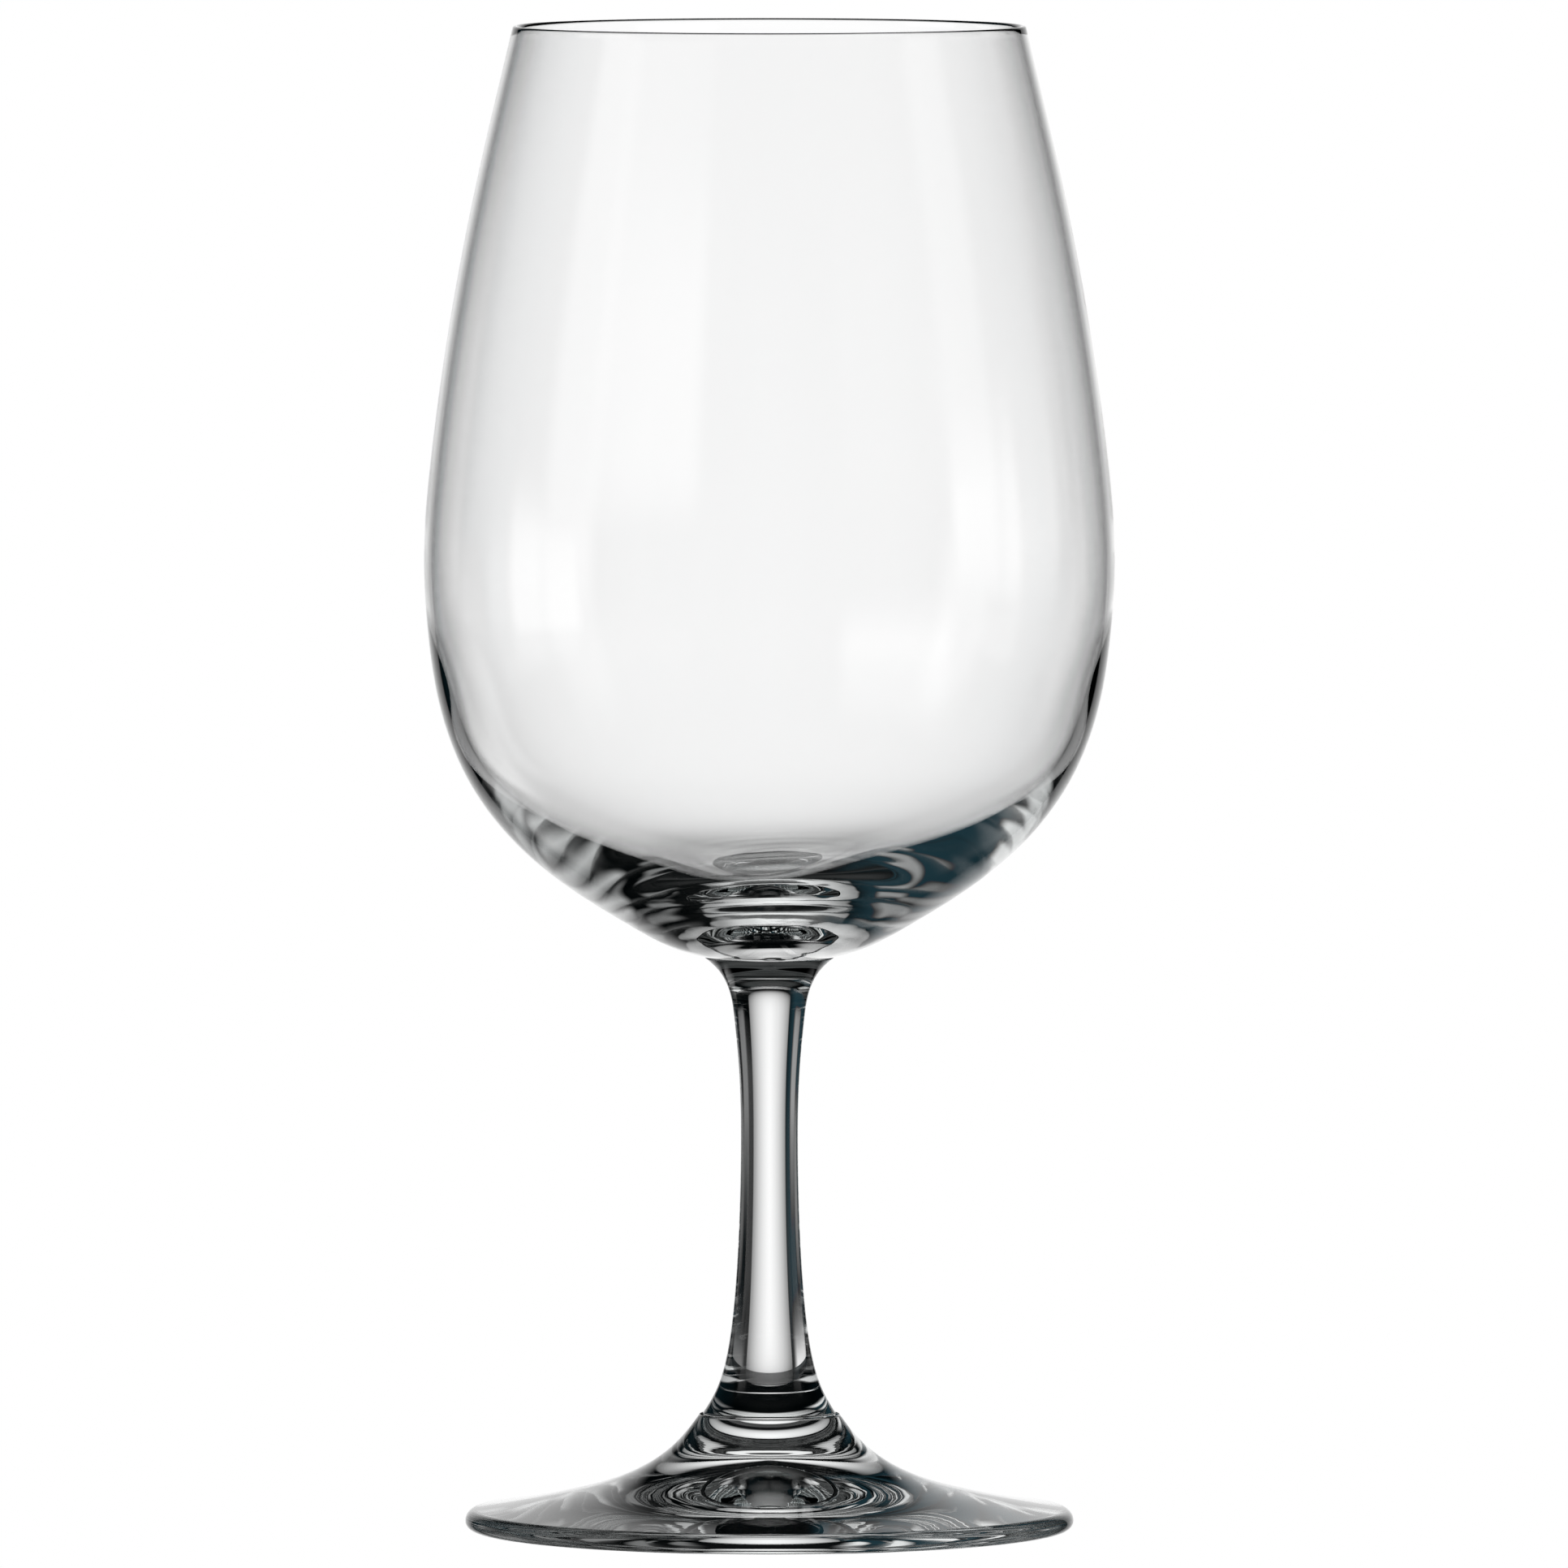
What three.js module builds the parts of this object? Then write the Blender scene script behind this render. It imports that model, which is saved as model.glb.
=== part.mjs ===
// A stemmed wine glass in clear soda-lime glass, made as three separately formed pieces that are
// fused face to face: a blown bowl, a drawn stem and a pressed foot. Millimetres, +Z up, with the
// origin at the centre of the plane that the foot stands on.
import * as THREE from "three";

// Driving dimensions: heights above the table, and radii from the glass's own axis.
const HEIGHT = 185;
const RIM_RADIUS = 31.6;
const BELLY_RADIUS = 42.5;
const BELLY_HEIGHT = 118.5;
const BOWL_WELD_HEIGHT = 70.5;
const BOWL_WELD_RADIUS = 8;
const CAVITY_FLOOR_HEIGHT = 76.55;
const WALL = 0.78;
const STEM_WAIST_RADIUS = 3.52;
const STEM_WAIST_HEIGHT = 46;
const FOOT_WELD_HEIGHT = 14.15;
const STEM_FOOT_RADIUS = 8.25;
const FOOT_BOSS_RADIUS = 8.6;
const FOOT_RADIUS = 37.45;
const FOOT_EDGE_LOWER = 1;
const FOOT_EDGE_UPPER = 1.45;
const FOOT_HOLLOW = 2.2;
const FOOT_PUNT = 2;
const FOOT_PUNT_SPREAD = 0.3;
const STANDING_RING_INNER = 32.6;

// How finely the outlines are turned into facets.
const SEGMENTS = 60;
const BOWL_STEPS = 24;
const STEM_STEPS = 20;
const FOOT_STEPS = 12;
const EDGE_STEPS = 6;
const HOLLOW_STEPS = 14;

const GLASS = new THREE.MeshStandardMaterial({
  name: "clear_glass",
  color: 0xeef4f3,
  roughness: 0.02,
  metalness: 0,
  transparent: true,
  opacity: 0.35,
});

const at = (radius, height) => new THREE.Vector2(radius, height);
const onAxis = (height) => at(0, height);

// A smooth curve through a few points, as evenly spaced points of an outline.
function smooth(points, steps) {
  return new THREE.SplineCurve(points).getSpacedPoints(steps);
}

// Points on a circular or elliptical edge round a centre, from one angle to another, in degrees.
function rounded(centre, acrossRadius, upRadius, from, to) {
  const turn = THREE.MathUtils.degToRad;
  const edge = new THREE.EllipseCurve(
    centre.x, centre.y, acrossRadius, upRadius, turn(from), turn(to), to < from,
  );
  return edge.getPoints(EDGE_STEPS);
}

// Joins stretches of outline, dropping a point that repeats the end of the stretch before it.
function outline(...stretches) {
  const joined = [];
  for (const point of stretches.flat()) {
    const last = joined[joined.length - 1];
    if (!last || last.distanceTo(point) > 1e-4) joined.push(point);
  }
  return joined;
}

// A solid of revolution about Z, as a named mesh.
function turned(name, points) {
  const mesh = new THREE.Mesh(new THREE.LatheGeometry(points, SEGMENTS), GLASS);
  mesh.name = name;
  mesh.rotation.x = Math.PI / 2;
  return mesh;
}

// The bowl: weld face, thick heel, egg-shaped wall that leans in to a fire-polished rim, and a
// cavity that runs down to a rounded bottom over the heel.
function bowl() {
  const rimRound = WALL / 2;
  const rimCentre = at(RIM_RADIUS - rimRound, HEIGHT - rimRound);
  const wallHeights = [132.2, 149.2, 167.2, 179.2];
  const wallRadii = [41.6, 39.2, 35.7, 32.9];
  const wallOutside = wallHeights.map((height, i) => at(wallRadii[i], height));
  const wallInside = wallHeights.map((height, i) => at(wallRadii[i] - WALL, height)).reverse();
  const outside = smooth(
    [
      at(BOWL_WELD_RADIUS, BOWL_WELD_HEIGHT),
      at(12.6, 71.95),
      at(17, 74.3),
      at(24.3, 78.85),
      at(31.4, 84.75),
      at(37, 92.2),
      at(40.5, 101.2),
      at(BELLY_RADIUS - 0.35, 112),
      at(BELLY_RADIUS, BELLY_HEIGHT),
      ...wallOutside,
      at(RIM_RADIUS, rimCentre.y),
    ],
    BOWL_STEPS,
  );
  const rim = rounded(rimCentre, rimRound, rimRound, 0, 180);
  const inside = smooth(
    [
      at(RIM_RADIUS - WALL, rimCentre.y),
      ...wallInside,
      at(BELLY_RADIUS - WALL, BELLY_HEIGHT),
      at(41.15, 110),
      at(39.1, 101.6),
      at(35.6, 93.7),
      at(31.2, 88.4),
      at(25.4, 84),
      at(18, 80.1),
      at(12.5, 78.2),
      at(8, CAVITY_FLOOR_HEIGHT + 0.55),
      onAxis(CAVITY_FLOOR_HEIGHT),
    ],
    BOWL_STEPS,
  );
  return turned("bowl", outline([onAxis(BOWL_WELD_HEIGHT)], outside, rim, inside));
}

// The stem: a solid waisted column that flares at both ends to meet the bowl and the foot.
function stem() {
  const side = smooth(
    [
      at(STEM_FOOT_RADIUS, FOOT_WELD_HEIGHT),
      at(6.85, 16.45),
      at(5.55, 20),
      at(4.65, 25),
      at(3.95, 33),
      at(STEM_WAIST_RADIUS, STEM_WAIST_HEIGHT),
      at(3.78, 57.2),
      at(4.3, 62.8),
      at(4.95, 66.4),
      at(6.2, 68.8),
      at(BOWL_WELD_RADIUS, BOWL_WELD_HEIGHT),
    ],
    STEM_STEPS,
  );
  return turned(
    "stem",
    outline([onAxis(FOOT_WELD_HEIGHT)], side, [onAxis(BOWL_WELD_HEIGHT)]),
  );
}

// The hollow under the foot: a shallow dome that reaches the standing ring, and a small punt
// pushed up into the middle of it.
function hollowUnder() {
  return Array.from({ length: HOLLOW_STEPS + 1 }, (_, i) => {
    const share = i / HOLLOW_STEPS;
    const dome = FOOT_HOLLOW * Math.cos((share * Math.PI) / 2) ** 2;
    const punt = FOOT_PUNT * Math.exp(-((share / FOOT_PUNT_SPREAD) ** 2)) * (1 - share);
    return at(STANDING_RING_INNER * share, i < HOLLOW_STEPS ? dome + punt : 0);
  });
}

// The foot: a disc with a raised boss for the stem, a rounded edge, a flat standing ring and a
// hollow underneath, so that it stands on the ring alone.
function foot() {
  const edgeCentre = at(FOOT_RADIUS - FOOT_EDGE_LOWER, FOOT_EDGE_LOWER);
  const lowerEdge = rounded(edgeCentre, FOOT_EDGE_LOWER, FOOT_EDGE_LOWER, -90, 0);
  const upperEdge = rounded(
    at(FOOT_RADIUS - FOOT_EDGE_UPPER, FOOT_EDGE_LOWER), FOOT_EDGE_UPPER, FOOT_EDGE_UPPER, 0, 80,
  );
  const top = smooth(
    [
      upperEdge[upperEdge.length - 1],
      at(31, 3.25),
      at(24.4, 4.6),
      at(18.6, 6.25),
      at(14.6, 8.2),
      at(11.4, 10.7),
      at(FOOT_BOSS_RADIUS, FOOT_WELD_HEIGHT),
    ],
    FOOT_STEPS,
  );
  const centre = [onAxis(FOOT_WELD_HEIGHT)];
  return turned("foot", outline(hollowUnder(), lowerEdge, upperEdge, top, centre));
}

const wineGlass = new THREE.Group();
wineGlass.name = "wine_glass";
wineGlass.add(bowl(), stem(), foot());

export default wineGlass;
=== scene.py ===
"""A clear stemmed wine glass on a pale studio floor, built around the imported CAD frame."""

import logging
import math
from dataclasses import dataclass, field
from enum import Enum

import bmesh
import bpy
import numpy as np
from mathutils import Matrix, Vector


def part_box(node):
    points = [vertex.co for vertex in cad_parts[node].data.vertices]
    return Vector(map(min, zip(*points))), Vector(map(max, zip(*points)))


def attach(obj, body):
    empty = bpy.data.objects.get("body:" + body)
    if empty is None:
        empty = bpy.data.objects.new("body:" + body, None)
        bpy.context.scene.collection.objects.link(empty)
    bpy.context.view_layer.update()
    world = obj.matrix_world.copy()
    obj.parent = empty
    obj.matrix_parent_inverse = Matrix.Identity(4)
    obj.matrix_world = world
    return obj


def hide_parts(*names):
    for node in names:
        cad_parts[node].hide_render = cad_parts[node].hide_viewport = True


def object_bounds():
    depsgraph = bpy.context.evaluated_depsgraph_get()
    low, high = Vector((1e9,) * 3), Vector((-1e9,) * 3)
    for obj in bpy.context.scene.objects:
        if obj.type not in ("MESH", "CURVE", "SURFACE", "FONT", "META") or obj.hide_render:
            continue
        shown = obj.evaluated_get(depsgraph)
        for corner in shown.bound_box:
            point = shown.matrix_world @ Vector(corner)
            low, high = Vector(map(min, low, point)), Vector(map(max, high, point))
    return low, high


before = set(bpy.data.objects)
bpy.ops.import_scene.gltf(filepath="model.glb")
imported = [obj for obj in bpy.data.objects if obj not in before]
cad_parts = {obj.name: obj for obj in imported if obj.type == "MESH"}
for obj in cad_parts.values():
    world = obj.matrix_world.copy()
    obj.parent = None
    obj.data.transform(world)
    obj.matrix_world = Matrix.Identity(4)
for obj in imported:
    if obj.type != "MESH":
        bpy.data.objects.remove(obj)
CAD_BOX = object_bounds()
LOG = logging.getLogger("wine_glass")

MM = 0.001  # one millimetre, in metres
TALL = CAD_BOX[1][2] - CAD_BOX[0][2]  # height of the glass, in metres
AROUND = 240  # points in each ring of a turned piece
SAME_POINT = 1e-7  # outline points this close, in millimetres, are one
ON_AXIS = 1e-3  # a radius up to this, in millimetres, is the axis
SAME_HEIGHT = 1e-3  # heights this close, in millimetres, are one
BOUNCES = 24  # how often light may bounce off surfaces or pass them
WHITE = (1.0, 1.0, 1.0)
TEAL = (0.25, 0.75, 1.0)
Points = tuple[tuple[float, float], ...]


class Trace(Enum):
    """The traces of making, by the name of the node group that draws each one."""

    WAVES = "soft_waves"
    RINGS = "tool_rings"
    SEEDS = "seed_pits"


class Surface(Enum):
    """The material slots of a piece of glass."""

    POLISHED = 0
    WELD = 1


class Angle(Enum):
    """The two angles of a direction, by the name of the socket that gives each one."""

    TURN = "Turn"
    RISE = "Rise"


def crowded(count: int, crowd: float = 1.0) -> np.ndarray:
    """Shares from 0 to 1 that lie closer together near 0.

    Args:
        count: How many shares to return.
        crowd: 1 for even spacing, more to crowd them.

    Returns:
        An array of rising shares.
    """
    return np.linspace(0, 1, count) ** crowd


def eased_off(value: np.ndarray, start: float, end: float) -> np.ndarray:
    """A smooth step from 1 down to 0.

    Args:
        value: The values to look up.
        start: Where the step is still 1.
        end: Where it has come down to 0.

    Returns:
        The step's height at each value.
    """
    share = np.clip((value - start) / (end - start), 0, 1)
    return 1 - share * share * (3 - 2 * share)


def spline(points: Points, shares: np.ndarray) -> np.ndarray:
    """A natural cubic spline through an outline's control points.

    Args:
        points: Radius and height of each control point, in order along the outline.
        shares: Where to take the points, as shares of the chord length.

    Returns:
        An array of rows of radius and height.
    """
    knots = np.array(points, dtype=float)
    steps = np.hypot(*np.diff(knots, axis=0).T)
    at = np.concatenate([[0.0], np.cumsum(steps)])
    size = len(knots)
    system = np.eye(size)
    target = np.zeros((size, 2))
    for i in range(1, size - 1):
        system[i, i - 1] = steps[i - 1]
        system[i, i] = 2 * (steps[i - 1] + steps[i])
        system[i, i + 1] = steps[i]
        slope_after = (knots[i + 1] - knots[i]) / steps[i]
        slope_before = (knots[i] - knots[i - 1]) / steps[i - 1]
        target[i] = 6 * (slope_after - slope_before)
    bend = np.linalg.solve(system, target)
    where = at[-1] * shares
    span = np.clip(np.searchsorted(at, where, side="right") - 1, 0, size - 2)
    ahead = (at[span + 1] - where)[:, None]
    behind = (where - at[span])[:, None]
    width = steps[span][:, None]
    return (
        bend[span] * ahead**3 / (6 * width)
        + bend[span + 1] * behind**3 / (6 * width)
        + (knots[span] / width - bend[span] * width / 6) * ahead
        + (knots[span + 1] / width - bend[span + 1] * width / 6) * behind
    )


def arc(
    centre: tuple[float, float], radius: float, start: float, end: float, count: int
) -> np.ndarray:
    """Points on a circular edge of an outline.

    Args:
        centre: Radius and height of the arc's centre.
        radius: The arc's radius.
        start: Angle of the first point in degrees, from the outward direction.
        end: Angle of the last point in degrees.
        count: How many points to return.

    Returns:
        An array of count rows of radius and height.
    """
    turn = np.radians(np.linspace(start, end, count))
    return np.c_[centre[0] + radius * np.cos(turn), centre[1] + radius * np.sin(turn)]


def joined(*stretches: np.ndarray) -> np.ndarray:
    """Joins stretches of outline end to end.

    Args:
        *stretches: Arrays of radius and height, each starting where the last one ends.

    Returns:
        One array of radius and height, without the repeated points.
    """
    rows = np.vstack(stretches)
    apart = np.hypot(*np.diff(rows, axis=0).T) > SAME_POINT
    return rows[np.concatenate([[True], apart])]


def placed(name: str, mesh: bmesh.types.BMesh) -> bpy.types.Object:
    """Turns a finished mesh into an object of the scene.

    Args:
        name: Name of the object and of its mesh.
        mesh: The mesh, which is freed.

    Returns:
        The object, linked to the scene.
    """
    data = bpy.data.meshes.new(name)
    mesh.to_mesh(data)
    mesh.free()
    made = bpy.data.objects.new(name, data)
    bpy.context.scene.collection.objects.link(made)
    return made


class TreeMaker:
    """Adds nodes and links to one shader node tree.

    Attributes:
        tree: The node tree.
    """

    def __init__(self, tree: bpy.types.NodeTree) -> None:
        """Takes the tree to work on.

        Args:
            tree: The node tree.
        """
        self.tree = tree

    def feed(self, slot: bpy.types.NodeSocket, value: object) -> None:
        """Puts a value on an input, or links a socket to it.

        Args:
            slot: The input.
            value: A plain value or an output socket.
        """
        if isinstance(value, bpy.types.NodeSocket):
            self.tree.links.new(value, slot)
        else:
            slot.default_value = value

    def node(self, kind: str, **values: object) -> bpy.types.Node:
        """Adds a node and fills its inputs.

        Args:
            kind: The node's type.
            **values: Inputs by name, with underscores for spaces, as values or sockets.

        Returns:
            The node.
        """
        made = self.tree.nodes.new(kind)
        for name, value in values.items():
            self.feed(made.inputs[name.replace("_", " ")], value)
        return made

    def group(self, tree: bpy.types.NodeTree, values: dict[str, object]) -> bpy.types.Node:
        """Adds a node group and fills its inputs.

        Args:
            tree: The group's own tree.
            values: Inputs by name, as values or sockets.

        Returns:
            The node that holds the group.
        """
        made = self.tree.nodes.new("ShaderNodeGroup")
        made.node_tree = tree
        for name, value in values.items():
            self.feed(made.inputs[name], value)
        return made

    def maths(
        self, operation: str, *values: object, kind: str = "ShaderNodeMath"
    ) -> bpy.types.NodeSocket:
        """Adds one sum.

        Args:
            operation: The name of the sum.
            *values: Its terms, as values or as sockets.
            kind: The node's type, for plain numbers or for vectors.

        Returns:
            The socket of the result.
        """
        made = self.tree.nodes.new(kind)
        made.operation = operation
        for slot, value in zip(made.inputs, values):
            self.feed(slot, value)
        return made.outputs[0]

    def vector_maths(self, operation: str, *values: object) -> bpy.types.NodeSocket:
        """Adds one sum of vectors, with terms as values or as sockets."""
        return self.maths(operation, *values, kind="ShaderNodeVectorMath")

    def fade(self, value: object, start: object, end: object) -> bpy.types.NodeSocket:
        """Adds a smooth step from 1 down to 0.

        Args:
            value: What to look up.
            start: Where the step is still 1.
            end: Where it has come down to 0.

        Returns:
            The socket of the step's height.
        """
        step = self.node("ShaderNodeMapRange", Value=value, To_Min=1.0, To_Max=0.0)
        step.interpolation_type = "SMOOTHSTEP"
        self.feed(step.inputs["From Min"], start)
        self.feed(step.inputs["From Max"], end)
        return step.outputs["Result"]


class GroupMaker(TreeMaker):
    """Builds one shader node group with named sockets.

    Attributes:
        ins: The group's inputs by name, as they are inside the group.
        outside: The node that takes the group's output.
    """

    def __init__(
        self, name: str, vectors: tuple[str, ...], floats: tuple[str, ...], out: str
    ) -> None:
        """Makes the group and its sockets.

        Args:
            name: The group's name.
            vectors: Names of the vector inputs.
            floats: Names of the float inputs.
            out: Name of the float output.
        """
        super().__init__(bpy.data.node_groups.new(name, "ShaderNodeTree"))
        sockets = self.tree.interface
        for label in vectors:
            sockets.new_socket(label, in_out="INPUT", socket_type="NodeSocketVector")
        for label in floats:
            sockets.new_socket(label, in_out="INPUT", socket_type="NodeSocketFloat")
        sockets.new_socket(out, in_out="OUTPUT", socket_type="NodeSocketFloat")
        self.ins = self.tree.nodes.new("NodeGroupInput").outputs
        self.outside = self.tree.nodes.new("NodeGroupOutput")

    def finish(self, result: bpy.types.NodeSocket) -> bpy.types.NodeTree:
        """Links the result to the output.

        Args:
            result: The socket of the result.

        Returns:
            The finished group.
        """
        self.feed(self.outside.inputs[0], result)
        return self.tree


def wave_group() -> bpy.types.NodeTree:
    """The group for the slow waves of hand-worked glass.

    Returns:
        The node group, whose Height is in millimetres.
    """
    maker = GroupMaker(Trace.WAVES.value, ("Place", "Stretch"), ("Waves", "Depth"), "Height")
    ins = maker.ins
    noise = maker.node(
        "ShaderNodeTexNoise",
        Vector=maker.vector_maths("MULTIPLY", ins["Place"], ins["Stretch"]),
        Scale=ins["Waves"],
        Detail=1.5,
        Roughness=0.4,
        Distortion=0.6,
    )
    return maker.finish(maker.maths("MULTIPLY", noise.outputs["Fac"], ins["Depth"]))


def ring_group() -> bpy.types.NodeTree:
    """The group for the fine turning rings that a shaping tool leaves.

    Returns:
        The node group, whose Height is in millimetres.
    """
    floats = ("Spacing", "Wobble", "Wobbles", "Inner", "Outer", "Depth")
    maker = GroupMaker(Trace.RINGS.value, ("Place",), floats, "Height")
    ins = maker.ins
    axes = maker.node("ShaderNodeSeparateXYZ", Vector=ins["Place"])
    flat = maker.maths("MULTIPLY", axes.outputs["Y"], axes.outputs["Y"])
    square = maker.maths("MULTIPLY_ADD", axes.outputs["X"], axes.outputs["X"], flat)
    radius = maker.maths("SQRT", square)
    noise = maker.node(
        "ShaderNodeTexNoise", Vector=ins["Place"], Scale=ins["Wobbles"], Detail=1.0
    )
    shifted = maker.maths("MULTIPLY_ADD", noise.outputs["Fac"], ins["Wobble"], radius)
    phase = maker.maths("MULTIPLY", maker.maths("DIVIDE", shifted, ins["Spacing"]), 2 * math.pi)
    wave = maker.maths("MULTIPLY", maker.maths("SINE", phase), ins["Depth"])
    return maker.finish(
        maker.maths("MULTIPLY", wave, maker.fade(radius, ins["Inner"], ins["Outer"]))
    )


def seed_group() -> bpy.types.NodeTree:
    """The group for the few tiny pits of burst seeds on the surface.

    Returns:
        The node group, whose Height is in millimetres.
    """
    floats = ("Cells", "Size", "Share", "Depth")
    maker = GroupMaker(Trace.SEEDS.value, ("Place",), floats, "Height")
    ins = maker.ins
    cells = maker.node("ShaderNodeTexVoronoi", Vector=ins["Place"], Scale=ins["Cells"])
    reach = maker.maths("MULTIPLY", ins["Size"], ins["Cells"])
    near = maker.maths("DIVIDE", cells.outputs["Distance"], reach)
    pit = maker.maths("SUBTRACT", 1.0, maker.maths("MINIMUM", near, 1.0))
    tone = maker.node("ShaderNodeSeparateColor", Color=cells.outputs["Color"])
    chosen = maker.maths("LESS_THAN", tone.outputs["Red"], ins["Share"])
    depth = maker.maths("MULTIPLY", maker.maths("MULTIPLY", pit, chosen), ins["Depth"])
    return maker.finish(maker.maths("MULTIPLY", depth, -1.0))


def angle_group(angle: Angle) -> bpy.types.NodeTree:
    """The group that turns a direction into one of its two angles.

    Args:
        angle: TURN for the angle around the glass, RISE for the one above the horizon.

    Returns:
        The node group, whose angle is in degrees.
    """
    name = f"{angle.value.lower()}_angle"
    maker = GroupMaker(name, ("Direction",), (), angle.value)
    axes = maker.node("ShaderNodeSeparateXYZ", Vector=maker.ins["Direction"])
    if angle is Angle.TURN:
        found = maker.maths("ARCTAN2", axes.outputs["X"], axes.outputs["Y"])
    else:
        found = maker.maths("ARCSINE", axes.outputs["Z"])
    return maker.finish(maker.maths("DEGREES", found))


def panel_group() -> bpy.types.NodeTree:
    """The group that works out how bright one panel is in a direction.

    Returns:
        The node group, whose inputs are those of SoftPanel and whose angles are in degrees.
    """
    directions = tuple(angle.value for angle in Angle)
    maker = GroupMaker("soft_panel", (), (*directions, *SoftPanel().inputs()), "Light")
    ins, maths = maker.ins, maker.maths
    aside = maths("WRAP", maths("SUBTRACT", ins[Angle.TURN.value], ins["Azimuth"]), 180.0, -180.0)
    aside = maths("ABSOLUTE", aside)
    above = maths("ABSOLUTE", maths("SUBTRACT", ins[Angle.RISE.value], ins["Elevation"]))
    across = maths("DIVIDE", aside, ins["Half Width"])
    upward = maths("POWER", maths("DIVIDE", above, ins["Half Height"]), ins["Rise Power"])
    share = maths("SQRT", maths("MULTIPLY_ADD", across, across, upward))
    lost = maths("MULTIPLY", maths("POWER", share, ins["Fall Power"]), ins["Fall"])
    light = maths("MULTIPLY", maths("SUBTRACT", 1.0, lost), ins["Strength"])
    rise_edge = maths("ADD", ins["Edge"], ins["Rise Soften"])
    for away, half, edge in (
        (aside, ins["Half Width"], ins["Edge"]),
        (above, ins["Half Height"], rise_edge),
    ):
        start, end = maths("SUBTRACT", half, edge), maths("ADD", half, edge)
        light = maths("MULTIPLY", light, maker.fade(away, start, end))
    return maker.finish(light)


@dataclass(frozen=True)
class Working:
    """The traces that the making leaves on one piece, all heights in millimetres.

    Attributes:
        name: Name of the material.
        waves: Slow waves per metre.
        stretch: How much the waves are squeezed along X, Y and Z.
        wave_depth: Height of the slow waves.
        ring_spacing: Distance between turning rings, in metres.
        ring_outer: Radius where the turning rings end, in metres.
        ring_depth: Height of the turning rings.
        ring_inner_share: Where the rings begin to fade, as a share of ring_outer.
        wobble_share: How far the rings stray, as a share of their spacing.
        wobbles: How many times the rings stray per metre.
        seed_cells: Cells per metre that may hold a pit.
        seed_size: Radius of a pit, in metres.
        seed_share: Share of the cells that hold a pit.
        seed_depth: Depth of a pit.
    """

    name: str
    waves: float
    stretch: tuple[float, float, float]
    wave_depth: float
    ring_spacing: float
    ring_outer: float
    ring_depth: float
    ring_inner_share: float = 0.6
    wobble_share: float = 0.4
    wobbles: float = 120.0
    seed_cells: float = 90.0
    seed_size: float = 0.0002
    seed_share: float = 0.02
    seed_depth: float = 0.03

    def inputs(self) -> dict[Trace, dict[str, object]]:
        """The inputs of the groups that draw the traces.

        Returns:
            Values by socket name, for each trace.
        """
        return {
            Trace.WAVES: {
                "Stretch": self.stretch,
                "Waves": self.waves,
                "Depth": self.wave_depth,
            },
            Trace.RINGS: {
                "Spacing": self.ring_spacing,
                "Wobble": self.wobble_share * self.ring_spacing,
                "Wobbles": self.wobbles,
                "Inner": self.ring_inner_share * self.ring_outer,
                "Outer": self.ring_outer,
                "Depth": self.ring_depth,
            },
            Trace.SEEDS: {
                "Cells": self.seed_cells,
                "Size": self.seed_size,
                "Share": self.seed_share,
                "Depth": self.seed_depth,
            },
        }


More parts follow.
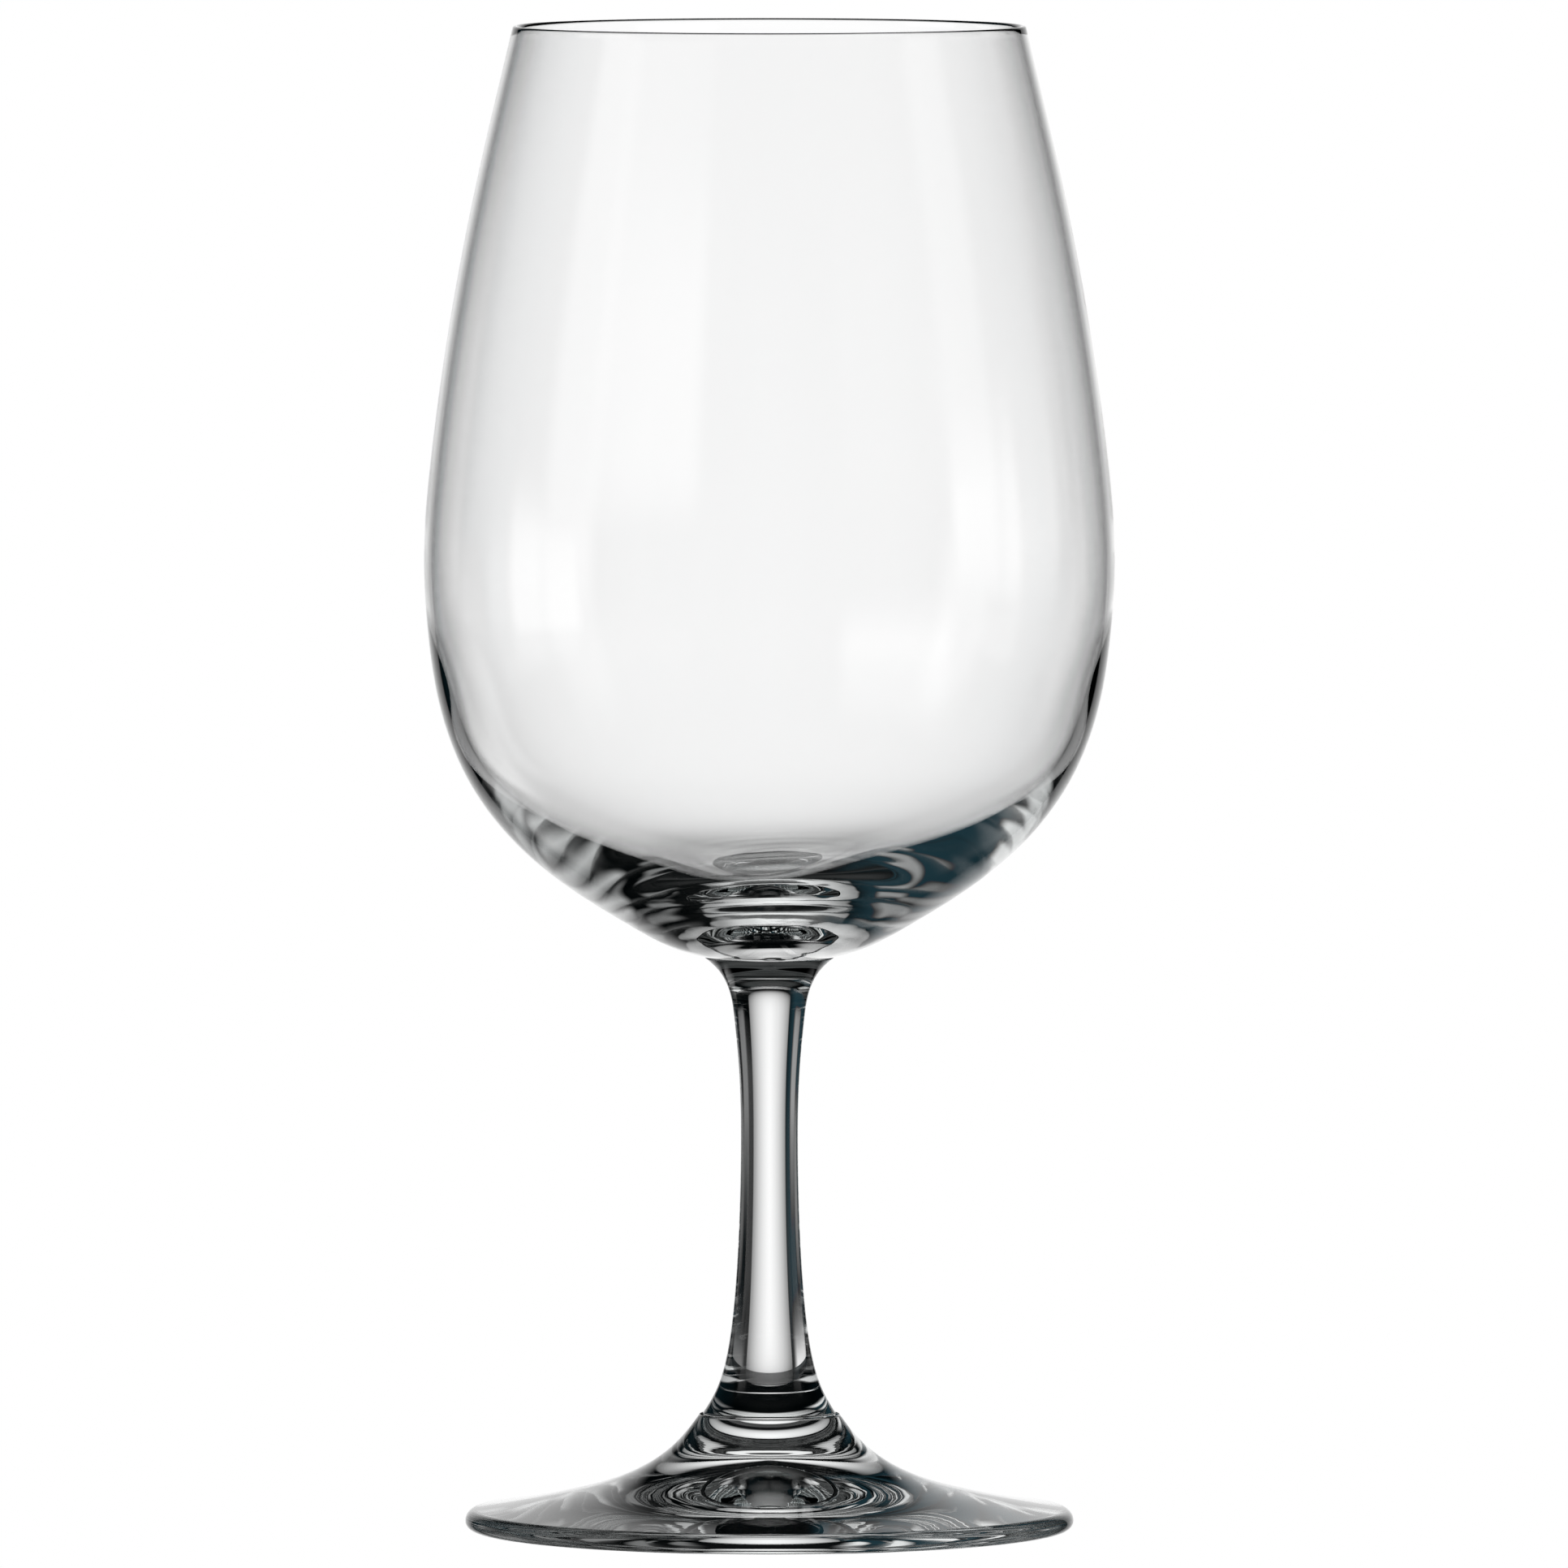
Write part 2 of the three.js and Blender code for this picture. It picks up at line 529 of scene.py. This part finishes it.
@dataclass
class TurnedPiece:
    """A closed piece of glass that is turned about the axis of the wine glass.

    The outlines are drawn in millimetres at the design size and fitted to the CAD node.

    Attributes:
        node: The CAD node that the piece stands for.
        low: The node's lowest corner, in metres.
        high: The node's highest corner, in metres.
    """

    node: str
    low: Vector = field(init=False)
    high: Vector = field(init=False)

    def __post_init__(self) -> None:
        """Takes the piece's place and size from its CAD node."""
        self.low, self.high = (Vector(corner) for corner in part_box(self.node))

    def skin(self) -> np.ndarray:
        """The outline of the piece's outside, beginning on the axis."""
        raise NotImplementedError

    def cavity(self) -> np.ndarray:
        """The outline of the piece's inside, or no rows for a solid piece."""
        return np.zeros((0, 2))

    def weld_heights(self) -> tuple[float, ...]:
        """The heights of the flat faces where the piece is fused to its neighbours."""
        raise NotImplementedError

    def worked(self, place: np.ndarray, turn: np.ndarray, inside: bool) -> np.ndarray:
        """Moves one ring's points from the true circle to the hand-worked shape.

        Args:
            place: X, Y and Z of each point of the ring, in millimetres.
            turn: The angle of each point about the axis.
            inside: Whether the ring belongs to the cavity.

        Returns:
            The places that the points move to.
        """
        return place

    def fitted(self, place: np.ndarray, widest: float, heights: np.ndarray) -> np.ndarray:
        """Fits points drawn at the design size to the node's box.

        Args:
            place: X, Y and Z of each point, in millimetres.
            widest: The outline's greatest radius.
            heights: The heights of the outline's points.

        Returns:
            The points in metres.
        """
        across = (self.high.x - self.low.x) / 2 / widest
        along = (self.high.z - self.low.z) / np.ptp(heights)
        rise = self.low.z + (place[:, 2] - heights.min()) * along
        return np.c_[place[:, 0] * across, place[:, 1] * across, rise]

    def build(self) -> bpy.types.Object:
        """Builds the closed mesh of the piece.

        Returns:
            The mesh object, linked to the scene.
        """
        skin = self.skin()
        outline = np.vstack([skin, self.cavity()])
        widest, heights = outline[:, 0].max(), outline[:, 1]
        turn = np.linspace(0, 2 * math.pi, AROUND, endpoint=False)
        mesh = bmesh.new()
        rings: list[list[bmesh.types.BMVert]] = []
        for row, (radius, height) in enumerate(outline):
            angle = turn if radius > ON_AXIS else turn[:1]
            level = np.full(len(angle), height)
            place = np.c_[radius * np.cos(angle), radius * np.sin(angle), level]
            place = self.worked(place, angle, row >= len(skin))
            rings.append([mesh.verts.new(p) for p in self.fitted(place, widest, heights)])
        for row, (lower, upper) in enumerate(zip(rings, rings[1:])):
            slot = self.face_slot(outline[row : row + 2, 1])
            for i in range(AROUND):
                j = (i + 1) % AROUND
                corners = [lower[i % len(lower)], lower[j % len(lower)]]
                corners += [upper[j % len(upper)], upper[i % len(upper)]]
                face = mesh.faces.new(dict.fromkeys(corners))
                face.smooth = slot is Surface.POLISHED
                face.material_index = slot.value
        return placed(f"{self.node}_glass", mesh)

    def face_slot(self, ends: np.ndarray) -> Surface:
        """The slot of the faces between two rings.

        Args:
            ends: The heights of the two rings.

        Returns:
            WELD where both rings lie on a weld plane, POLISHED elsewhere.
        """
        for height in self.weld_heights():
            if np.all(np.abs(ends - height) < SAME_HEIGHT):
                return Surface.WELD
        return Surface.POLISHED

    def dress(self, piece: bpy.types.Object, finishes: list[bpy.types.Material]) -> None:
        """Gives the piece its materials and says what it stands for.

        Args:
            piece: The mesh object.
            finishes: The materials, in the order of the Surface slots.
        """
        for finish in finishes:
            piece.data.materials.append(finish)
        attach(piece, "root")
        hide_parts(self.node)
        LOG.info("%s: %d faces", piece.name, len(piece.data.polygons))


@dataclass
class Bowl(TurnedPiece):
    """The blown bowl: thick heel, egg-shaped wall and fire-polished rim.

    Attributes:
        node: The CAD node of the bowl.
        wall: Thickness of the wall at the rim and in the upper part of the bowl.
        outside: Control points of the outside, from the weld up to the rim.
        walled: How many of the outside's last points the inside follows, a wall further in.
        inside: Control points of the inside below those, down to the floor's centre.
        outside_rows: Rows of points on the outside.
        outside_crowd: How closely they crowd towards the weld.
        inside_rows: Rows of points on the inside.
        inside_crowd: How closely they crowd towards the floor's centre.
        rim_rows: Rows of points round the rim.
        tilt: Slope of the cavity floor, which hangs a little lower on the left.
        tilt_reach: Radii between which the slope dies out.
        ripple: Height of the spiral ripple in the cavity floor.
        ripple_pitch: Distance from one turn of the ripple to the next.
        ripple_centre: X and Y of the ripple's centre.
        ripple_reach: Radii between which the ripple dies out.
        working: The traces of blowing.
    """

    node: str = "bowl"
    wall: float = 0.78
    outside: Points = (
        (8.0, 70.5),
        (9.8, 70.95),
        (12.6, 71.95),
        (17.0, 74.3),
        (24.3, 78.85),
        (31.4, 84.75),
        (37.0, 92.2),
        (40.5, 101.2),
        (42.15, 112.0),
        (42.5, 118.5),
        (41.6, 132.2),
        (39.2, 149.2),
        (35.7, 167.2),
        (32.9, 179.2),
        (31.6, 184.61),
    )
    walled: int = 5
    inside: Points = (
        (41.7, 118.5),
        (41.15, 110.0),
        (39.1, 101.6),
        (35.6, 93.7),
        (31.2, 88.4),
        (25.4, 84.0),
        (18.0, 80.1),
        (12.5, 78.2),
        (8.0, 77.1),
        (3.5, 76.62),
        (0.0, 76.55),
    )
    outside_rows: int = 170
    outside_crowd: float = 1.5
    inside_rows: int = 205
    inside_crowd: float = 1.6
    rim_rows: int = 9
    tilt: float = 0.018
    tilt_reach: tuple[float, float] = (12.0, 36.0)
    ripple: float = 0.010
    ripple_pitch: float = 2.6
    ripple_centre: tuple[float, float] = (0.6, -0.4)
    ripple_reach: tuple[float, float] = (8.0, 15.0)
    working: Working = Working(
        name="blown_glass",
        waves=45,
        stretch=(1, 1, 0.35),
        wave_depth=0.015,
        ring_spacing=0.0016,
        ring_outer=0.016,
        ring_depth=0.001,
    )

    def skin(self) -> np.ndarray:
        """The outline of the weld face, the outside and the rim.

        Returns:
            Rows of radius and height.
        """
        weld = np.array([[0.0, self.outside[0][1]], self.outside[0]])
        side = spline(self.outside, crowded(self.outside_rows, self.outside_crowd))
        rim_round = self.wall / 2
        rim_centre = (self.outside[-1][0] - rim_round, self.outside[-1][1])
        rim = arc(rim_centre, rim_round, 0, 180, self.rim_rows)
        return joined(weld, side, rim[:-1])

    def cavity(self) -> np.ndarray:
        """The outline of the inside, from the rim down to the floor's centre.

        Returns:
            Rows of radius and height.
        """
        follows = reversed(self.outside[-self.walled :])
        wall = [(radius - self.wall, height) for radius, height in follows]
        shares = 1 - crowded(self.inside_rows, self.inside_crowd)[::-1]
        return spline((*wall, *self.inside), shares)

    def worked(self, place: np.ndarray, turn: np.ndarray, inside: bool) -> np.ndarray:
        """Tilts the cavity floor and presses the spiral ripple into it.

        Args:
            place: X, Y and Z of each point of the ring, in millimetres.
            turn: The angle of each point about the axis.
            inside: Whether the ring belongs to the cavity.

        Returns:
            The places that the points move to.
        """
        if not inside:
            return place
        x, y = place[:, 0], place[:, 1]
        radius = np.hypot(x, y)
        off_axis = np.hypot(x - self.ripple_centre[0], y - self.ripple_centre[1])
        spiral = np.cos(off_axis * 2 * math.pi / self.ripple_pitch + turn)
        lift = self.tilt * x * eased_off(radius, *self.tilt_reach)
        lift += self.ripple * spiral * eased_off(radius, *self.ripple_reach)
        return place + np.c_[0 * lift, 0 * lift, lift]

    def weld_heights(self) -> tuple[float, ...]:
        """The bowl is fused to the stem at its lowest plane."""
        return (self.outside[0][1],)


@dataclass
class Stem(TurnedPiece):
    """The drawn stem: a solid waisted column with a flare at both ends.

    Attributes:
        node: The CAD node of the stem.
        side: Control points of the outside, from the foot up to the bowl.
        side_rows: Rows of points on the outside.
        weld_gap: The hairline left between two fused faces.
        working: The traces of drawing.
    """

    node: str = "stem"
    side: Points = (
        (8.25, 14.15),
        (6.85, 16.45),
        (5.55, 20.0),
        (4.65, 25.0),
        (3.95, 33.0),
        (3.52, 46.0),
        (3.78, 57.2),
        (4.3, 62.8),
        (4.95, 66.4),
        (6.2, 68.8),
        (8.0, 70.5),
    )
    side_rows: int = 180
    weld_gap: float = 0.02
    working: Working = Working(
        name="drawn_glass",
        waves=260,
        stretch=(1, 1, 0.04),
        wave_depth=0.006,
        ring_spacing=0.0012,
        ring_outer=0.0085,
        ring_depth=0.0,
    )

    def __post_init__(self) -> None:
        """Takes the stem's place from its CAD node, less a hairline at both ends."""
        super().__post_init__()
        self.low.z += self.weld_gap * MM
        self.high.z -= self.weld_gap * MM

    def skin(self) -> np.ndarray:
        """The stem's outline: lower weld face, side and upper weld face.

        Returns:
            Rows of radius and height.
        """
        start = np.array([[0.0, self.side[0][1]]])
        end = np.array([[0.0, self.side[-1][1]]])
        return joined(start, spline(self.side, crowded(self.side_rows)), end)

    def weld_heights(self) -> tuple[float, ...]:
        """The stem is fused at both ends."""
        return (self.side[0][1], self.side[-1][1])


@dataclass
class Foot(TurnedPiece):
    """The pressed foot: a disc with a boss for the stem and a hollow underneath.

    Attributes:
        node: The CAD node of the foot.
        radius: Radius of the foot's edge.
        hollow: Height of the dome under the foot, at the axis.
        punt: How much further the middle of the dome is pushed up.
        punt_spread: How wide that punt is, as a share of the dome's radius.
        ring_inner: Radius where the standing ring begins.
        edge_lower: Rounding of the edge's lower half.
        edge_upper: Rounding of the edge's upper half.
        edge_end: Angle where the edge's rounding meets the upper side, in degrees.
        top: Control points of the upper side, from the edge in to the boss.
        under_rows: Rows of points on the dome.
        lower_rows: Rows of points on the edge's lower half.
        upper_rows: Rows of points on the edge's upper half.
        top_rows: Rows of points on the upper side.
        working: The traces of pressing.
    """

    node: str = "foot"
    radius: float = 37.45
    hollow: float = 2.2
    punt: float = 2.0
    punt_spread: float = 0.3
    ring_inner: float = 32.6
    edge_lower: float = 1.0
    edge_upper: float = 1.45
    edge_end: float = 80.0
    top: Points = (
        (31.0, 3.25),
        (24.4, 4.6),
        (18.6, 6.25),
        (14.6, 8.2),
        (11.4, 10.7),
        (8.6, 14.15),
    )
    under_rows: int = 90
    lower_rows: int = 10
    upper_rows: int = 12
    top_rows: int = 120
    working: Working = Working(
        name="pressed_glass",
        waves=60,
        stretch=(1, 1, 1),
        wave_depth=0.006,
        ring_spacing=0.0019,
        ring_outer=0.034,
        ring_depth=0.0005,
    )

    def skin(self) -> np.ndarray:
        """The foot's outline: hollow, standing ring, edge, upper side and weld face.

        Returns:
            Rows of radius and height.
        """
        share = crowded(self.under_rows)
        dome = self.hollow * np.cos(share * math.pi / 2) ** 2
        dome += self.punt * np.exp(-((share / self.punt_spread) ** 2)) * (1 - share)
        under = np.c_[self.ring_inner * share, dome]
        low_centre = (self.radius - self.edge_lower, self.edge_lower)
        lower = arc(low_centre, self.edge_lower, -90, 0, self.lower_rows)
        high_centre = (self.radius - self.edge_upper, self.edge_lower)
        upper = arc(high_centre, self.edge_upper, 0, self.edge_end, self.upper_rows)
        top = spline((tuple(upper[-1]), *self.top), crowded(self.top_rows))
        centre = np.array([[0.0, self.top[-1][1]]])
        return joined(under, lower, upper, top, centre)

    def weld_heights(self) -> tuple[float, ...]:
        """The foot is fused to the stem on top of its boss."""
        return (self.top[-1][1],)


def empty_material(name: str) -> tuple[bpy.types.Material, TreeMaker, bpy.types.Node]:
    """Makes a material that holds only its output node.

    Args:
        name: The material's name.

    Returns:
        The material, a maker for its tree and its output node.
    """
    material = bpy.data.materials.new(name)
    material.use_nodes = True
    maker = TreeMaker(material.node_tree)
    maker.tree.nodes.clear()
    return material, maker, maker.node("ShaderNodeOutputMaterial")


@dataclass(frozen=True)
class ClearGlass:
    """Polished clear glass.

    Attributes:
        ior: Index of refraction of soda-lime glass.
        tint: Colour that is left after a long way through the glass.
        density: How strongly the glass absorbs, per metre.
    """

    ior: float = 1.52
    tint: tuple[float, float, float] = (0.55, 0.85, 0.80)
    density: float = 1.0

    def absorb(self, maker: TreeMaker, output: bpy.types.Node) -> None:
        """Adds the glass's absorption to a material.

        Args:
            maker: The maker for the material's tree.
            output: The material's output node.
        """
        volume = maker.node(
            "ShaderNodeVolumeAbsorption", Color=(*self.tint, 1), Density=self.density
        )
        maker.feed(output.inputs["Volume"], volume.outputs[0])

    def relief(self, maker: TreeMaker, working: Working) -> bpy.types.NodeSocket:
        """Adds the traces of making to a material.

        Args:
            maker: The maker for the material's tree.
            working: The traces of the piece.

        Returns:
            The normal that they leave.
        """
        place = maker.node("ShaderNodeTexCoord").outputs["Object"]
        heights = []
        for trace, values in working.inputs().items():
            group = bpy.data.node_groups[trace.value]
            heights.append(maker.group(group, {"Place": place, **values}).outputs["Height"])
        waves, rings, seeds = heights
        total = maker.maths("ADD", maker.maths("ADD", waves, rings), seeds)
        return maker.node("ShaderNodeBump", Distance=MM, Height=total).outputs["Normal"]

    def polished(self, working: Working) -> bpy.types.Material:
        """The material of a polished surface.

        Args:
            working: The traces of making on it.

        Returns:
            The material.
        """
        material, maker, output = empty_material(working.name)
        glass = maker.node(
            "ShaderNodeBsdfPrincipled",
            Base_Color=(*WHITE, 1),
            Transmission_Weight=1,
            Roughness=0,
            IOR=self.ior,
            Normal=self.relief(maker, working),
        )
        maker.feed(output.inputs["Surface"], glass.outputs[0])
        self.absorb(maker, output)
        return material

    def weld(self) -> bpy.types.Material:
        """The material of a fused face, which light passes as if it weren't there.

        Returns:
            The material.
        """
        material, maker, output = empty_material("weld_face")
        clear = maker.node("ShaderNodeBsdfTransparent")
        maker.feed(output.inputs["Surface"], clear.outputs[0])
        self.absorb(maker, output)
        return material


@dataclass(frozen=True)
class PaleFloor:
    """The pale floor, which only the camera sees.

    Attributes:
        radius: Radius of the floor in metres.
        sides: How many sides its outline has.
    """

    radius: float = 30.0
    sides: int = 64

    def finish(self) -> bpy.types.Material:
        """The floor's material, evenly white without any shadow.

        Returns:
            The material.
        """
        material, maker, output = empty_material("floor_white")
        glow = maker.node("ShaderNodeEmission")
        maker.feed(output.inputs["Surface"], glow.outputs[0])
        return material

    def build(self) -> bpy.types.Object:
        """Builds the floor.

        Returns:
            The floor object.
        """
        mesh = bmesh.new()
        bmesh.ops.create_circle(mesh, cap_ends=True, radius=self.radius, segments=self.sides)
        floor = placed("studio_floor", mesh)
        floor.data.materials.append(self.finish())
        floor.visible_transmission = False
        floor.visible_glossy = False
        return floor


@dataclass(frozen=True)
class SoftPanel:
    """A soft-edged bright panel of the studio, as seen from the glass. Angles are in degrees.

    Attributes:
        centre: Its azimuth, from straight behind the glass to the right, and its elevation.
        half_size: Half of its width and half of its height.
        edge: Width of its soft edge.
        strength: How bright it is in the middle.
        fall: Share of the brightness that is lost at its sides.
        rise_soften: How much softer its upper and lower edges are.
        tint: Colour of its light.
        fall_power: Power of the loss, on the way from the middle to the sides.
        rise_power: Power of the height in that loss, where 2 would count it like the width.
    """

    centre: tuple[float, float] = (0.0, 0.0)
    half_size: tuple[float, float] = (10.0, 10.0)
    edge: float = 4.0
    strength: float = 1.0
    fall: float = 0.0
    rise_soften: float = 4.0
    tint: tuple[float, float, float] = WHITE
    fall_power: float = 1.35
    rise_power: float = 4.0

    def inputs(self) -> dict[str, float]:
        """The inputs of the panel's node group.

        Returns:
            Values by socket name.
        """
        return {
            "Azimuth": self.centre[0],
            "Elevation": self.centre[1],
            "Half Width": self.half_size[0],
            "Half Height": self.half_size[1],
            "Edge": self.edge,
            "Rise Soften": self.rise_soften,
            "Strength": self.strength,
            "Fall": self.fall,
            "Fall Power": self.fall_power,
            "Rise Power": self.rise_power,
        }


@dataclass
class Studio:
    """The soft light of a small studio.

    Attributes:
        dark: Colour of the unlit surroundings.
        panels: The bright panels, of which the brightest counts where some overlap.
    """

    dark: tuple[float, float, float] = (0.0006, 0.0012, 0.0014)
    panels: tuple[SoftPanel, ...] = (
        # The backdrop, and the faint glow overhead.
        SoftPanel(centre=(0, -6), half_size=(24.6, 30), edge=0.8, strength=1.07, fall=0.76),
        SoftPanel(centre=(0, 78), half_size=(180, 22), edge=6, strength=0.06),
        # Grey cards beside the backdrop, for the sides of the bowl and the stem, and a teal one.
        SoftPanel(centre=(44, 1), half_size=(8, 6), edge=3, strength=0.22, rise_soften=1),
        SoftPanel(centre=(-44, 1), half_size=(8, 6), edge=3, strength=0.34, rise_soften=1),
        SoftPanel(centre=(58, -6), half_size=(8, 4), edge=3, strength=0.11, rise_soften=0),
        SoftPanel(centre=(-58, -6), half_size=(8, 4), edge=3, strength=0.22, rise_soften=0),
        SoftPanel(centre=(-58, 12), half_size=(30, 26), edge=8, strength=0.05, tint=TEAL),
        # Side lights, and the dim room behind the camera.
        SoftPanel(centre=(80, 1), half_size=(14, 5), strength=0.60),
        SoftPanel(centre=(106, 14), half_size=(10, 17), strength=0.50),
        SoftPanel(centre=(-108, 14), half_size=(10, 17), strength=0.65),
        SoftPanel(centre=(180, -5), half_size=(50, 30), edge=9, strength=0.08),
        # Lights that show through the glass where it is seen from other sides.
        SoftPanel(centre=(-98, -4), half_size=(15, 8), edge=3, strength=0.90, rise_soften=0),
        SoftPanel(centre=(-45, -28), half_size=(14, 10), strength=0.90),
        SoftPanel(centre=(45, -28), half_size=(14, 10), strength=0.20),
        SoftPanel(centre=(135, -18), half_size=(20, 8), strength=0.90),
        SoftPanel(centre=(-135, -18), half_size=(20, 8), strength=0.20),
    )

    def world(self) -> bpy.types.World:
        """Builds the surrounding light, which the camera itself sees as plain white.

        Returns:
            The world.
        """
        world = bpy.data.worlds.new("studio_light")
        bpy.context.scene.world = world
        world.use_nodes = True
        maker = TreeMaker(world.node_tree)
        maker.tree.nodes.clear()
        direction = maker.node("ShaderNodeTexCoord").outputs["Generated"]
        angles = {}
        for angle in Angle:
            found = maker.group(angle_group(angle), {"Direction": direction})
            angles[angle.value] = found.outputs[angle.value]
        group = panel_group()
        brightest = (0.0, 0.0, 0.0)
        for panel in self.panels:
            light = maker.group(group, {**angles, **panel.inputs()}).outputs["Light"]
            tinted = maker.vector_maths("MULTIPLY", light, panel.tint)
            brightest = maker.vector_maths("MAXIMUM", brightest, tinted)
        total = maker.vector_maths("ADD", brightest, self.dark)
        surround = maker.node("ShaderNodeBackground", Color=total)
        plain = maker.node("ShaderNodeBackground", Color=(*WHITE, 1))
        path = maker.node("ShaderNodeLightPath")
        pick = maker.node("ShaderNodeMixShader", Fac=path.outputs["Is Camera Ray"])
        maker.feed(pick.inputs[1], surround.outputs[0])
        maker.feed(pick.inputs[2], plain.outputs[0])
        maker.node("ShaderNodeOutputWorld", Surface=pick.outputs[0])
        return world


@dataclass(frozen=True)
class Viewpoint:
    """The camera: a long lens, a little above the rim.

    Attributes:
        distance: From the axis of the glass along the floor, in heights of the glass.
        height: Above the floor, in heights of the glass.
        pitch: Downward tilt in degrees.
        sensor: Width of the sensor in millimetres.
        focal_share: Focal length as a share of the sensor's width.
        shift: Sideways shift as a share of the frame's width.
        clip_end: How far the camera sees, in metres.
    """

    distance: float = 17.12432
    height: float = 1.513514
    pitch: float = 3.400
    sensor: float = 36.0
    focal_share: float = 16.4682
    shift: float = 0.00932
    clip_end: float = 100.0

    def build(self) -> bpy.types.Object:
        """Builds the camera and makes it the scene's own.

        Returns:
            The camera object.
        """
        data = bpy.data.cameras.new("view_camera")
        data.sensor_width = self.sensor
        data.lens = self.sensor * self.focal_share
        data.shift_x = self.shift
        data.dof.use_dof = False
        data.clip_end = self.clip_end
        camera = bpy.data.objects.new("view_camera", data)
        camera.location = (0, -self.distance * TALL, self.height * TALL)
        camera.rotation_euler = (math.radians(90 - self.pitch), 0, 0)
        bpy.context.scene.collection.objects.link(camera)
        bpy.context.scene.camera = camera
        return camera


def main() -> None:
    """Builds the camera, the wine glass and the studio."""
    logging.basicConfig(level=logging.INFO, format="%(name)s %(message)s")
    Viewpoint().build()
    for make in (wave_group, ring_group, seed_group):
        make()
    glass = ClearGlass()
    weld = glass.weld()
    for part in (Bowl(), Stem(), Foot()):
        part.dress(part.build(), [glass.polished(part.working), weld])
    PaleFloor().build()
    Studio().world()
    scene = bpy.context.scene
    scene.view_settings.view_transform = "Standard"
    scene.cycles.max_bounces = BOUNCES
    scene.cycles.transmission_bounces = BOUNCES
    scene.cycles.glossy_bounces = BOUNCES
    scene.cycles.transparent_max_bounces = BOUNCES


if __name__ == "__main__":
    main()
